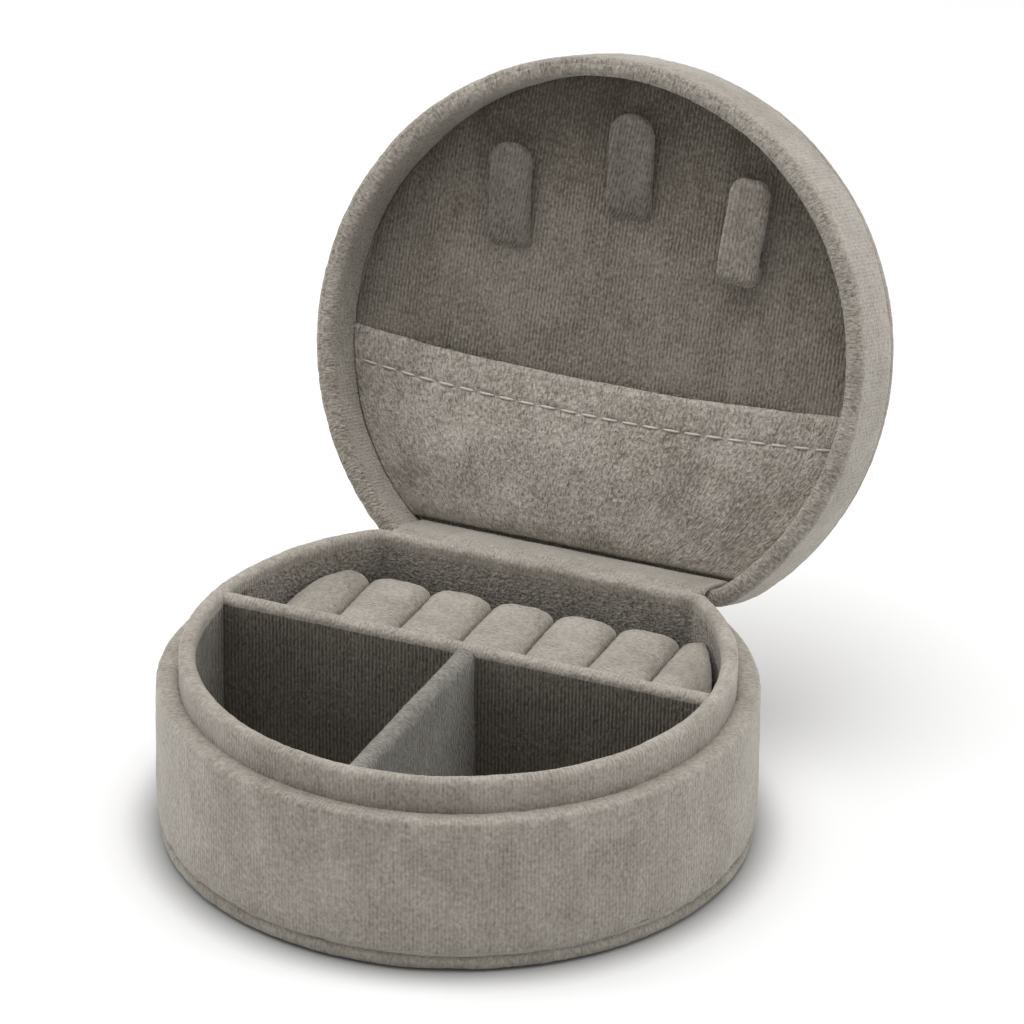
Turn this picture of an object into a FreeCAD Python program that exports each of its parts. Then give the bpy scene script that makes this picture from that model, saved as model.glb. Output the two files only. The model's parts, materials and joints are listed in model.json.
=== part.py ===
import FreeCAD, Part
import Sketcher
import math
import os
import re

# A D-shaped velvet travel case for jewellery, standing open.
# Millimetres. X runs along the hinge, Y towards the hinge, Z up.
# The origin lies on the floor, at the centre of the round front.

SIZES = {
    # overall
    "case_radius": 60.0,         # round front of base and lid
    "flat_back": 46.8,           # centre to the flat back
    "corner_round": 6.0,         # upright corners where flat and round meet
    "velvet": 0.7,               # pile and backing of every cover
    "open_angle": 109.0,         # lid against its stop
    # base
    "band_high": 3.9,            # covered bottom panel
    "wall_top": 32.8,            # top of the outer wall, a ledge round the lip
    "wall_board": 2.1,           # outer wall without its cover
    "ledge": 4.5,                # width of the ledge round the front
    "ledge_back": 4.8,           # the same along the flat
    "lip_top": 39.5,             # top of the inner wall that locates the lid
    "lip_wide": 3.3,             # covered inner wall round the front
    "lip_back_wide": 2.8,        # the same along the flat
    "lip_round": 1.2,
    "wall_round": 1.0,
    "band_round": 1.2,
    "band_inset": 0.35,          # bottom and crown covers sit in from the wall
    "floor_board": 1.5,
    # dividers
    "divider_back": 4.2,         # rear face of the long divider
    "divider_thick": 3.4,
    "long_divider_top": 39.0,
    "short_divider_x": 1.0,      # middle of the short divider
    "short_divider_thick": 4.4,
    "short_divider_top": 38.6,
    "divider_round": 1.5,
    "board_short": 1.0,          # divider boards stop short of the wall
    # ring bed
    "roll_pitch": 13.7,
    "roll_gap": 0.4,
    "roll_top": 33.2,
    "roll_back": 34.2,           # rear end of the rolls
    "roll_round": 3.4,           # soft shoulders along each roll
    "bed_top": 14.1,
    "bed_clear": 0.4,            # rolls to the walls about them
    # lid
    "rim_gap": 0.3,              # shut lid to ledge
    "lid_high": 22.4,
    "rim_wide": 4.1,             # covered lid wall round the front
    "rim_back_wide": 3.4,        # the same along the flat
    "rim_round": 1.2,
    "panel_deep": 11.5,          # rim to the covered inner panel
    "panel_board": 1.5,
    "crown_board": 1.8,
    "crown_foam": 2.0,
    # pocket
    "pocket_mouth": 6.0,         # centre to the open edge
    "pocket_thick": 0.9,
    "pocket_stand": 1.6,         # pocket face off the panel
    "pocket_foot": 60.0,         # length of the seam that holds it at the hinge
    "seam_back": 6.8,            # open edge to its row of stitches
    "stitch_long": 3.4,
    "stitch_pitch": 4.6,
    "stitch_thick": 0.35,
    # necklace hooks
    "hook_wide": 9.2,
    "hook_thick": 2.2,
    "hook_tip_round": 4.4,
    "hook_gap": 2.9,             # free space behind the hook that stands on a foot
    "hook_sink": 0.7,            # how far a slanted hook is sewn down into the panel
    "hook_long": 21.8,
    "hook_root": 5.0,            # length of the foot glued to the panel
    # hinge
    "axis_back": 0.5,            # hinge axis behind the flat
    "barrel_radius": 1.1,
    "pin_radius": 0.55,
    "pin_clear": 0.05,
    "hinge_long": 44.0,
    "leaf_thick": 0.5,
    "leaf_high": 9.5,
    "knuckle_gap": 0.2,
    "rivet_radius": 1.1,
    "rivet_pitch": 15.0,
    "slot_clear": 0.2,           # covers to the knuckles
    "strip_thick": 0.6,
    "strip_high": 11.0,
    "strip_leaves": 1.95,        # axis to where the outer strip leaves each wall
    "strip_beyond": 10.8,        # strips run on past the hinge at each end
}
KNUCKLES = 5
HOOKS = {
    # name: middle across, foot end, lean sideways, tilt off the panel in degrees
    "left": (-23.6, -17.2, -4.0, 9.6),
    "centre": (1.5, -27.1, -3.0, 9.6),
    "right": (27.4, -18.1, 2.0, 0.0),
}
ROLLS_EACH_SIDE = 3

doc = FreeCAD.newDocument("jewelry_case")
sheet = doc.addObject("Spreadsheet::Sheet", "Sheet")
for row, (word, value) in enumerate(SIZES.items(), start=1):
    sheet.set("A%d" % row, word)
    sheet.set("B%d" % row, str(value))
    sheet.setAlias("B%d" % row, word)
doc.recompute()
S = {word: float(sheet.get(word)) for word in SIZES}

# sizes worked out from the driving ones, as expressions
LIP_OUT = ("case_radius - ledge", "flat_back - ledge_back")
LIP_IN = ("case_radius - ledge - lip_wide", "flat_back - ledge_back - lip_back_wide")
WALL_BOARD_OUT = ("case_radius - velvet", "flat_back - velvet")
WALL_BOARD_IN = ("case_radius - velvet - wall_board", "flat_back - velvet - wall_board")
RIM_IN = ("case_radius - rim_wide", "flat_back - rim_back_wide")
RIM_BOARD_IN = ("case_radius - rim_wide + velvet", "flat_back - rim_back_wide + velvet")
FULL = ("case_radius", "flat_back")
CAP_OUT = ("case_radius - band_inset", "flat_back - band_inset")
CAP_IN = ("case_radius - band_inset - velvet", "flat_back - band_inset - velvet")
CLEAR_ABOVE = "2 * lip_top"
FLOOR_TOP = "band_high + floor_board + velvet"
RIM = "wall_top + rim_gap"
CROWN = "wall_top + rim_gap + lid_high"
CROWN_COVER = "wall_top + rim_gap + lid_high - band_high"
PANEL = "wall_top + rim_gap + panel_deep"
AXIS_Z = "wall_top + rim_gap / 2"
AXIS_Y = "flat_back + axis_back"


def linked(text):
    """Point every word of an expression at its cell in the sheet."""
    return re.sub(r"[a-z][a-z_]+", lambda found: "Sheet." + found.group(0), text)


def bind(item, prop, text):
    item.setExpression(prop, linked(text))


def hinge_turn():
    """Placement that swings a lid part from shut to standing open."""
    centre = FreeCAD.Vector(0, S["flat_back"] + S["axis_back"], S["wall_top"] + S["rim_gap"] / 2)
    turn = FreeCAD.Rotation(FreeCAD.Vector(1, 0, 0), -S["open_angle"])
    return FreeCAD.Placement(FreeCAD.Vector(0, 0, 0), turn, centre)


def new_body(label, lid=False):
    body = doc.addObject("PartDesign::Body", label)
    body.Label = label
    if lid:
        body.Placement = hinge_turn()
    return body


def flat_sketch(body, name, plane, offset):
    sketch = body.newObject("Sketcher::SketchObject", name)
    origin = [item for item in body.Origin.OriginFeatures if item.Role == plane][0]
    sketch.AttachmentSupport = [(origin, "")]
    sketch.MapMode = "FlatFace"
    bind(sketch, "AttachmentOffset.Base.z", offset)
    return sketch


def draw_d(sketch, outline, tag):
    """Closed D: an arc about the centre and the straight flat behind it."""
    radius = {"outer": S["case_radius"], "inner": 0.9 * S["case_radius"]}[tag]
    flat = 0.75 * radius
    corner = math.asin(flat / radius)
    circle = Part.Circle(FreeCAD.Vector(0, 0, 0), FreeCAD.Vector(0, 0, 1), radius)
    arc = sketch.addGeometry(Part.ArcOfCircle(circle, math.pi - corner, 2 * math.pi + corner))
    half = radius * math.cos(corner)
    ends = FreeCAD.Vector(half, flat, 0), FreeCAD.Vector(-half, flat, 0)
    line = sketch.addGeometry(Part.LineSegment(*ends))
    sketch.addConstraint(Sketcher.Constraint("Coincident", arc, 3, -1, 1))
    sketch.addConstraint(Sketcher.Constraint("Coincident", arc, 2, line, 1))
    sketch.addConstraint(Sketcher.Constraint("Coincident", arc, 1, line, 2))
    sketch.addConstraint(Sketcher.Constraint("Horizontal", line))
    for kind, what, text in (("Radius", (arc,), outline[0]),
                             ("DistanceY", (-1, 1, line, 1), outline[1])):
        value = radius if kind == "Radius" else flat
        index = sketch.addConstraint(Sketcher.Constraint(kind, *what, value))
        word = tag + kind
        sketch.renameConstraint(index, word)
        bind(sketch, "Constraints." + word, text)


def add_d(body, outline, low, high, hole=None):
    """Pad a D, or a D ring, from one height to another."""
    sketch = flat_sketch(body, body.Label + "_outline", "XY_Plane", low)
    draw_d(sketch, outline, "outer")
    if hole:
        draw_d(sketch, hole, "inner")
    pad = body.newObject("PartDesign::Pad", body.Label + "_pad")
    pad.Profile = sketch
    bind(pad, "Length", "(%s) - (%s)" % (high, low))
    return pad


def cut_d(body, outline, high, low, hole=None):
    """Cut a D, or a D ring, from one height down to another."""
    sketch = flat_sketch(body, body.Label + "_hollow", "XY_Plane", high)
    draw_d(sketch, outline, "outer")
    if hole:
        draw_d(sketch, hole, "inner")
    cut = body.newObject("PartDesign::Pocket", body.Label + "_cut")
    cut.Profile = sketch
    bind(cut, "Length", "(%s) - (%s)" % (high, low))
    return cut


def block(body, kind, x, y, z):
    """Box between pairs of expressions; kind is Additive or Subtractive."""
    box = body.newObject("PartDesign::%sBox" % kind, body.Label + "_" + kind.lower() + "_box")
    for side, axis, (start, end) in zip(("Length", "Width", "Height"), "xyz", (x, y, z)):
        bind(box, side, "(%s) - (%s)" % (end, start))
        bind(box, "Placement.Base." + axis, start)
    return box


def rod(body, kind, radius, length, spot, turn):
    """Cylinder from a spot; turn is the rotation that lays its axis down."""
    item = body.newObject("PartDesign::%sCylinder" % kind, body.Label + "_" + kind.lower() + "_rod")
    item.Placement = FreeCAD.Placement(FreeCAD.Vector(0, 0, 0), turn)
    bind(item, "Radius", radius)
    bind(item, "Height", length)
    for axis, text in zip("xyz", spot):
        bind(item, "Placement.Base." + axis, text)
    return item


ALONG_X = FreeCAD.Rotation(FreeCAD.Vector(0, 1, 0), 90)
ALONG_Y = FreeCAD.Rotation(FreeCAD.Vector(1, 0, 0), -90)


def round_edges(body, radius, wanted):
    """Round the edges of the tip that a test on their bounding box picks."""
    doc.recompute()
    base = body.Tip
    names = []
    for number, edge in enumerate(base.Shape.Edges, start=1):
        if wanted(edge.BoundBox):
            names.append("Edge%d" % number)
    fillet = body.newObject("PartDesign::Fillet", body.Label + "_round")
    fillet.Base = (base, names)
    bind(fillet, "Radius", radius)
    doc.recompute()
    return fillet


def upright(box):
    return box.ZLength > 0.5 * S["velvet"] and box.XLength < 0.01 and box.YLength < 0.01


def level(height):
    return lambda box: abs(box.ZMin - height) < 0.001 and box.ZLength < 0.01


# ---------------------------------------------------------------- base shell
def bottom_panel():
    board = new_body("base_bottom_board")
    add_d(board, CAP_IN, "velvet", "band_high")
    cover = new_body("base_bottom_velvet")
    add_d(cover, CAP_OUT, "0", "band_high")
    round_edges(cover, "corner_round", upright)
    round_edges(cover, "band_round", level(0.0))
    cut_d(cover, CAP_IN, "band_high", "velvet")


def knuckle_slot(body, low, high):
    """Clearance for the hinge knuckles along the back edge."""
    block(body, "Subtractive", ("-hinge_long / 2 - slot_clear", "hinge_long / 2 + slot_clear"),
          ("flat_back - velvet - leaf_thick - slot_clear", "flat_back + slot_clear"), (low, high))


def leaf_seat(body, low, high):
    """Recess in a wall board that takes one hinge leaf and its rivets."""
    block(body, "Subtractive", ("-hinge_long / 2", "hinge_long / 2"),
          ("flat_back - velvet - leaf_thick", "flat_back"), (low, high))


def rivet_holes(body, height):
    for step in (-1, 0, 1):
        rod(body, "Subtractive", "rivet_radius", "wall_board + 2 * rivet_radius",
            ("rivet_pitch * %d" % step, "flat_back - velvet - wall_board - rivet_radius", height),
            ALONG_Y)


BASE_RIVETS = AXIS_Z + " - leaf_high + 2 * rivet_radius"
LID_RIVETS = AXIS_Z + " + leaf_high - 2 * rivet_radius"


def outer_wall():
    foot = "band_high + velvet"
    head = "wall_top - velvet"
    board = new_body("base_wall_board")
    add_d(board, WALL_BOARD_OUT, foot, head, WALL_BOARD_IN)
    knuckle_slot(board, AXIS_Z + " - barrel_radius - slot_clear", "wall_top")
    leaf_seat(board, AXIS_Z + " - leaf_high", "wall_top")
    rivet_holes(board, BASE_RIVETS)
    cover = new_body("base_wall_velvet")
    add_d(cover, FULL, "band_high", "wall_top")
    round_edges(cover, "corner_round", upright)
    round_edges(cover, "wall_round", level(S["wall_top"]))
    cut_d(cover, WALL_BOARD_OUT, head, foot)
    cut_d(cover, WALL_BOARD_IN, foot, "band_high")
    cut_d(cover, LIP_OUT, "wall_top", head)
    knuckle_slot(cover, AXIS_Z + " - barrel_radius - slot_clear", "lip_top")
    foam = new_body("base_wall_foam")
    add_d(foam, WALL_BOARD_IN, "band_high", head, LIP_OUT)


def inner_wall():
    board_out = (LIP_OUT[0] + " - velvet", LIP_OUT[1] + " - velvet")
    board_in = (LIP_IN[0] + " + velvet", LIP_IN[1] + " + velvet")
    board = new_body("liner_board")
    add_d(board, board_out, "band_high", "lip_top - velvet", board_in)
    cover = new_body("liner_velvet")
    add_d(cover, LIP_OUT, "band_high", "lip_top", LIP_IN)
    round_edges(cover, "corner_round", upright)
    round_edges(cover, "lip_round", level(S["lip_top"]))
    cut_d(cover, board_out, "lip_top - velvet", "band_high", board_in)


def compartment_floor():
    board = new_body("floor_board")
    add_d(board, LIP_IN, "band_high", "band_high + floor_board")
    round_edges(board, "corner_round", upright)
    cover = new_body("floor_velvet")
    add_d(cover, LIP_IN, "band_high + floor_board", FLOOR_TOP)
    round_edges(cover, "corner_round", upright)


# ------------------------------------------------------------------ dividers
def trim_to_liner(body, clear, low, high):
    """Cut away whatever lies outside the inner wall, less a clearance."""
    sketch = flat_sketch(body, body.Label + "_trim", "XY_Plane", high)
    draw_d(sketch, ("2 * case_radius", "1.5 * case_radius"), "outer")
    edge = (LIP_IN[0] + " - " + clear, LIP_IN[1] + " - " + clear)
    draw_d(sketch, edge, "inner")
    cut = body.newObject("PartDesign::Pocket", body.Label + "_trim_cut")
    cut.Profile = sketch
    bind(cut, "Length", "(%s) - (%s)" % (high, low))


def divider(name, x, y, top, skin):
    """Velvet cover over a board, trimmed to the inner wall."""
    cover = new_body(name + "_velvet")
    block(cover, "Additive", x, y, (FLOOR_TOP, top))
    long_in_x = name.startswith("long")
    reach = S["case_radius"]
    if long_in_x:
        wanted = lambda box: level(S[name + "_top"])(box) and box.XLength > reach
    else:
        wanted = lambda box: level(S[name + "_top"])(box) and box.YLength > reach / 2
    round_edges(cover, "divider_round", wanted)
    trim_to_liner(cover, "0", "0", CLEAR_ABOVE)
    board = new_body(name + "_board")
    block(board, "Additive", skin[0], skin[1], (FLOOR_TOP, top + " - velvet"))
    trim_to_liner(board, "velvet", "0", CLEAR_ABOVE)
    block(cover, "Subtractive", skin[0], skin[1], (FLOOR_TOP, top + " - velvet"))
    return cover, board


def dividers():
    """The long one runs wall to wall; the short one halves the front."""
    ends = (LIP_IN[0] + " - velvet")
    front = "divider_back - divider_thick"
    divider("long_divider", ("-case_radius", "case_radius"), (front, "divider_back"),
            "long_divider_top",
            (("-(%s) + board_short" % ends, "(%s) - board_short" % ends),
             (front + " + velvet", "divider_back - velvet")))
    left = "short_divider_x - short_divider_thick / 2"
    right = "short_divider_x + short_divider_thick / 2"
    divider("short_divider", (left, right), ("-case_radius", front), "short_divider_top",
            ((left + " + velvet", right + " - velvet"),
             ("-(%s) + board_short" % ends, front + " - velvet")))


# ------------------------------------------------------------------ ring bed
def ring_bed():
    """Foam block behind the long divider that lifts the rolls."""
    bed = new_body("ring_bed_foam")
    block(bed, "Additive", ("-case_radius", "case_radius"), ("divider_back", "flat_back"),
          (FLOOR_TOP, "bed_top"))
    trim_to_liner(bed, "0", "0", CLEAR_ABOVE)
    behind = S["flat_back"] / 2
    round_edges(bed, "corner_round", lambda box: upright(box) and box.YMin > behind)


def ring_roll(number, place):
    """Upright pad with soft shoulders; rings slip in between two of them."""
    roll = new_body("ring_roll_%d" % number)
    half = "(roll_pitch - roll_gap) / 2"
    middle = "roll_pitch * %d" % place
    block(roll, "Additive", (middle + " - " + half, middle + " + " + half),
          ("divider_back + bed_clear", "roll_back"), ("bed_top", "roll_top"))
    along = S["roll_back"] / 2
    round_edges(roll, "roll_round", lambda box: level(S["roll_top"])(box) and box.YLength > along)
    trim_to_liner(roll, "bed_clear", "0", CLEAR_ABOVE)


# ----------------------------------------------------------------- lid shell
def lid_wall():
    head = CROWN_COVER + " - velvet"
    board = new_body("lid_wall_board", lid=True)
    add_d(board, WALL_BOARD_OUT, RIM + " + velvet", head, RIM_BOARD_IN)
    knuckle_slot(board, RIM, AXIS_Z + " + barrel_radius + slot_clear")
    leaf_seat(board, RIM, AXIS_Z + " + leaf_high")
    rivet_holes(board, LID_RIVETS)
    cover = new_body("lid_wall_velvet", lid=True)
    add_d(cover, FULL, RIM, CROWN_COVER, RIM_IN)
    round_edges(cover, "corner_round", upright)
    rim = S["wall_top"] + S["rim_gap"]
    round_edges(cover, "rim_round", level(rim))
    cut_d(cover, WALL_BOARD_OUT, head, RIM + " + velvet", RIM_BOARD_IN)
    knuckle_slot(cover, "wall_top", AXIS_Z + " + barrel_radius + slot_clear")


def lid_crown():
    """Padded top: board, foam and the velvet drawn over both."""
    board_top = CROWN_COVER + " + crown_board"
    board = new_body("lid_crown_board", lid=True)
    add_d(board, CAP_IN, CROWN_COVER, board_top)
    foam_top = CROWN + " - velvet"
    foam = new_body("lid_crown_foam", lid=True)
    add_d(foam, CAP_IN, board_top, foam_top)
    round_edges(foam, "corner_round", upright)
    crown = S["wall_top"] + S["rim_gap"] + S["lid_high"]
    round_edges(foam, "crown_foam / 2", level(crown - S["velvet"]))
    cover = new_body("lid_crown_velvet", lid=True)
    add_d(cover, CAP_OUT, CROWN_COVER, CROWN)
    round_edges(cover, "corner_round", upright)
    round_edges(cover, "crown_foam", level(crown))
    cut_d(cover, CAP_IN, board_top, CROWN_COVER)
    hollow = cover.newObject("PartDesign::Boolean", "lid_crown_hollow")
    hollow.Type = "Cut"
    copy = new_body("crown_foam_copy")
    add_d(copy, CAP_IN, board_top, foam_top)
    round_edges(copy, "corner_round", upright)
    round_edges(copy, "crown_foam / 2", level(crown - S["velvet"]))
    hollow.addObject(copy)


def lid_panel():
    """Covered panel that closes the hollow of the lid."""
    velvet_top = PANEL + " + velvet"
    board_top = velvet_top + " + panel_board"
    cover = new_body("lid_panel_velvet", lid=True)
    add_d(cover, RIM_IN, PANEL, velvet_top)
    board = new_body("lid_panel_board", lid=True)
    add_d(board, RIM_IN, velvet_top, board_top)
    foam = new_body("lid_panel_foam", lid=True)
    add_d(foam, RIM_IN, board_top, CROWN_COVER)
    for body in (cover, board, foam):
        round_edges(body, "corner_round", upright)


# -------------------------------------------------------------- lid fittings
def pocket():
    """Gathered flat pocket across the hinge side of the panel."""
    sheet_body = new_body("lid_pocket", lid=True)
    low = PANEL + " - pocket_stand - pocket_thick"
    block(sheet_body, "Additive", ("-case_radius", "case_radius"),
          ("pocket_mouth", "flat_back"), (low, PANEL + " - pocket_stand"))
    edge = (RIM_IN[0] + " - velvet", RIM_IN[1] + " - velvet")
    trim = flat_sketch(sheet_body, "pocket_trim", "XY_Plane", CLEAR_ABOVE)
    draw_d(trim, ("2 * case_radius", "1.5 * case_radius"), "outer")
    draw_d(trim, edge, "inner")
    cut = sheet_body.newObject("PartDesign::Pocket", "pocket_trim_cut")
    cut.Profile = trim
    bind(cut, "Length", CLEAR_ABOVE)
    foot = ("flat_back - rim_back_wide - 3 * velvet", "flat_back - rim_back_wide - velvet")
    block(sheet_body, "Additive", ("-pocket_foot / 2", "pocket_foot / 2"), foot,
          (low, PANEL))


def stitches():
    """Row of thread dashes along the pocket's hem, one solid for each."""
    low = S["wall_top"] + S["rim_gap"] + S["panel_deep"] - S["pocket_stand"] - S["pocket_thick"]
    seam = S["pocket_mouth"] + S["seam_back"]
    half = math.sqrt((S["case_radius"] - S["rim_wide"]) ** 2 - seam ** 2) - S["stitch_pitch"] / 2
    count = int(half / S["stitch_pitch"])
    dashes = []
    for step in range(-count, count + 1):
        start = step * S["stitch_pitch"] - S["stitch_long"] / 2
        corner = FreeCAD.Vector(start, seam, low - S["stitch_thick"])
        size = S["stitch_long"], S["stitch_thick"], S["stitch_thick"]
        dashes.append(Part.makeBox(*size, corner))
    thread = doc.addObject("Part::Feature", "pocket_thread")
    thread.Label = "pocket_thread"
    thread.Shape = Part.makeCompound(dashes)
    thread.Placement = hinge_turn()


def hook(name, across, foot, lean, tilt):
    """Covered tab: a tongue slanting off the panel, or a blade held off it on a foot."""
    body = new_body("necklace_hook_" + name)
    wide = ("-hook_wide / 2", "hook_wide / 2")
    blade = ("hook_sink - hook_thick", "hook_sink") if tilt else ("-hook_gap - hook_thick", "-hook_gap")
    block(body, "Additive", wide, ("-hook_long", "0"), blade)
    tip = -S["hook_long"]
    round_edges(body, "hook_tip_round", lambda box: upright(box) and abs(box.YMin - tip) < 0.001)
    if tilt:
        trim_to_panel(body, tilt)
    else:
        block(body, "Additive", wide, ("-hook_root", "0"), ("-hook_gap", "0"))
    panel = S["wall_top"] + S["rim_gap"] + S["panel_deep"]
    spot = FreeCAD.Vector(across, foot, panel)
    sideways = FreeCAD.Rotation(FreeCAD.Vector(0, 0, 1), lean)
    outwards = FreeCAD.Rotation(FreeCAD.Vector(1, 0, 0), tilt)
    place = FreeCAD.Placement(spot, sideways.multiply(outwards))
    body.Placement = hinge_turn().multiply(place)


def trim_to_panel(body, tilt):
    """Cut a slanted hook off level with the panel it is sewn to."""
    level_with_panel = FreeCAD.Rotation(FreeCAD.Vector(1, 0, 0), -tilt)
    corner = FreeCAD.Vector(-S["hook_wide"], -S["hook_long"], 0)
    below = body.newObject("PartDesign::SubtractiveBox", body.Label + "_below_panel")
    below.Placement = FreeCAD.Placement(level_with_panel.multVec(corner), level_with_panel)
    bind(below, "Length", "2 * hook_wide")
    bind(below, "Width", "2 * hook_long")
    bind(below, "Height", "hook_long")


# --------------------------------------------------------------------- hinge
def hinge_leaf(name, lid):
    """Plate seated in the wall board, with its share of the knuckles."""
    leaf = new_body(name, lid=lid)
    bore = "(pin_radius + pin_clear)"
    plate_y = ("flat_back - velvet - leaf_thick", "flat_back - velvet")
    step = "hinge_long / %d" % KNUCKLES
    if lid:
        low, high = AXIS_Z + " + barrel_radius + slot_clear", AXIS_Z + " + leaf_high"
        neck = (AXIS_Z + " + barrel_radius - leaf_thick", AXIS_Z + " + barrel_radius + slot_clear")
        mine = range(1, KNUCKLES, 2)
    else:
        low, high = AXIS_Z + " - leaf_high", AXIS_Z + " - barrel_radius - slot_clear"
        neck = (AXIS_Z + " - barrel_radius - slot_clear", AXIS_Z + " - barrel_radius + leaf_thick")
        mine = range(0, KNUCKLES, 2)
    block(leaf, "Additive", ("-hinge_long / 2", "hinge_long / 2"), plate_y, (low, high))
    for number in mine:
        start = "-hinge_long / 2 + %s * %d + knuckle_gap / 2" % (step, number)
        end = "-hinge_long / 2 + %s * %d - knuckle_gap / 2" % (step, number + 1)
        block(leaf, "Additive", (start, end), (plate_y[0], AXIS_Y), neck)
        rod(leaf, "Additive", "barrel_radius", "(%s) - (%s)" % (end, start),
            (start, AXIS_Y, AXIS_Z), ALONG_X)
    rod(leaf, "Subtractive", bore, "2 * hinge_long", ("-hinge_long", AXIS_Y, AXIS_Z), ALONG_X)
    for place in (-1, 0, 1):
        rod(leaf, "Subtractive", "rivet_radius", "4 * leaf_thick",
            ("rivet_pitch * %d" % place, plate_y[0] + " - leaf_thick",
             LID_RIVETS if lid else BASE_RIVETS), ALONG_Y)


def hinge_pin():
    pin = new_body("hinge_pin")
    rod(pin, "Additive", "pin_radius", "hinge_long",
        ("-hinge_long / 2", AXIS_Y, AXIS_Z), ALONG_X)


def rivets(name, lid):
    """Three flush rivets through one leaf and its wall board."""
    side = 1 if lid else -1
    axis_z = S["wall_top"] + S["rim_gap"] / 2
    height = axis_z + side * (S["leaf_high"] - 2 * S["rivet_radius"])
    start = S["flat_back"] - S["velvet"] - S["wall_board"]
    deep = S["wall_board"]
    if lid:
        start = S["flat_back"] - S["rim_back_wide"] + S["velvet"]
        deep = S["flat_back"] - S["velvet"] - start
    made = []
    for place in (-1, 0, 1):
        foot = FreeCAD.Vector(place * S["rivet_pitch"], start, height)
        made.append(Part.makeCylinder(S["rivet_radius"], deep, foot, FreeCAD.Vector(0, 1, 0)))
    group = doc.addObject("Part::Feature", name)
    group.Label = name
    group.Shape = Part.makeCompound(made)
    if lid:
        group.Placement = hinge_turn()


def opened(y, z):
    """Where a point of the shut lid's side view goes when the lid stands open."""
    centre_y = S["flat_back"] + S["axis_back"]
    centre_z = S["wall_top"] + S["rim_gap"] / 2
    turn = math.radians(S["open_angle"])
    dy = y - centre_y
    dz = z - centre_z
    along = centre_y + dy * math.cos(turn) + dz * math.sin(turn)
    return along, centre_z - dy * math.sin(turn) + dz * math.cos(turn)


def ribbon(name, path, long):
    """Strip of velvet of one thickness that follows a bent path in side view."""
    thick = S["strip_thick"]
    near = [FreeCAD.Vector(0, y, z) for y, z in path]
    far = []
    for number, spot in enumerate(near):
        before = near[max(number - 1, 0)]
        after = near[min(number + 1, len(near) - 1)]
        into = (spot - before) if number else (after - spot)
        away = (after - spot) if number < len(near) - 1 else (spot - before)
        into.normalize()
        away.normalize()
        normal = FreeCAD.Vector(0, into.z + away.z, -into.y - away.y)
        normal.normalize()
        lean = normal.dot(FreeCAD.Vector(0, into.z, -into.y))
        far.append(spot + normal * (thick / lean))
    loop = near + far[::-1]
    face = Part.Face(Part.makePolygon(loop + loop[:1]))
    strip = doc.addObject("Part::Feature", name)
    strip.Label = name
    solid = face.extrude(FreeCAD.Vector(long, 0, 0))
    solid.translate(FreeCAD.Vector(-long / 2, 0, 0))
    strip.Shape = solid


def hinge_strips():
    """Velvet across the hinge: one strip outside, one inside."""
    long = S["hinge_long"] + 2 * S["strip_beyond"]
    back = S["flat_back"]
    axis_z = S["wall_top"] + S["rim_gap"] / 2
    leave = S["strip_leaves"]
    path = [(back, axis_z - S["strip_high"]), (back, axis_z - leave)]
    path += [opened(back, axis_z + leave), opened(back, axis_z + S["strip_high"])]
    ribbon("hinge_strip_outer", path, long)
    lip = S["flat_back"] - S["ledge_back"]
    rim_face = S["flat_back"] - S["rim_back_wide"]
    rim = S["wall_top"] + S["rim_gap"]
    path = [opened(rim_face, rim + S["panel_deep"]), opened(rim_face, rim)]
    outside = lip + S["strip_thick"]
    path += [(outside, S["lip_top"] - S["lip_round"] - S["strip_thick"])]
    path += [(outside, S["wall_top"] + S["rim_gap"])]
    ribbon("hinge_strip_inner", path, long)


# ------------------------------------------------------------- build and save
bottom_panel()
outer_wall()
inner_wall()
compartment_floor()
dividers()
ring_bed()
for number in range(2 * ROLLS_EACH_SIDE + 1):
    ring_roll(number + 1, number - ROLLS_EACH_SIDE)
lid_wall()
lid_crown()
lid_panel()
pocket()
stitches()
for name, placing in HOOKS.items():
    hook(name, *placing)
hinge_leaf("base_hinge_leaf", lid=False)
hinge_leaf("lid_hinge_leaf", lid=True)
hinge_pin()
rivets("base_hinge_rivets", lid=False)
rivets("lid_hinge_rivets", lid=True)
hinge_strips()
doc.recompute()

SPARE = {"crown_foam_copy"}
made = []
for item in doc.Objects:
    states = [word for word in item.State if word in ("Invalid", "Error")]
    if states:
        raise RuntimeError("%s is %s" % (item.Label, states))
    body = item.TypeId == "PartDesign::Body"
    if (body or item.TypeId == "Part::Feature") and item.Label not in SPARE:
        made.append(item)
for item in made:
    if item.Shape.isNull() or not item.Shape.isValid():
        raise RuntimeError("%s has no valid shape" % item.Label)
os.makedirs("parts", exist_ok=True)
for item in made:
    item.Shape.exportStep("parts/%s.step" % item.Label)
    box = item.Shape.BoundBox
    print("%-24s %2d solid(s) %9.1f mm3  x %6.1f %6.1f  y %6.1f %6.1f  z %6.1f %6.1f" % (
        item.Label, len(item.Shape.Solids), item.Shape.Volume,
        box.XMin, box.XMax, box.YMin, box.YMax, box.ZMin, box.ZMax))
print(len(made), "parts")
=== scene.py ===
import json
import math

import bmesh
import bpy
from mathutils import Matrix, Vector, noise
from mathutils.kdtree import KDTree

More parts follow.
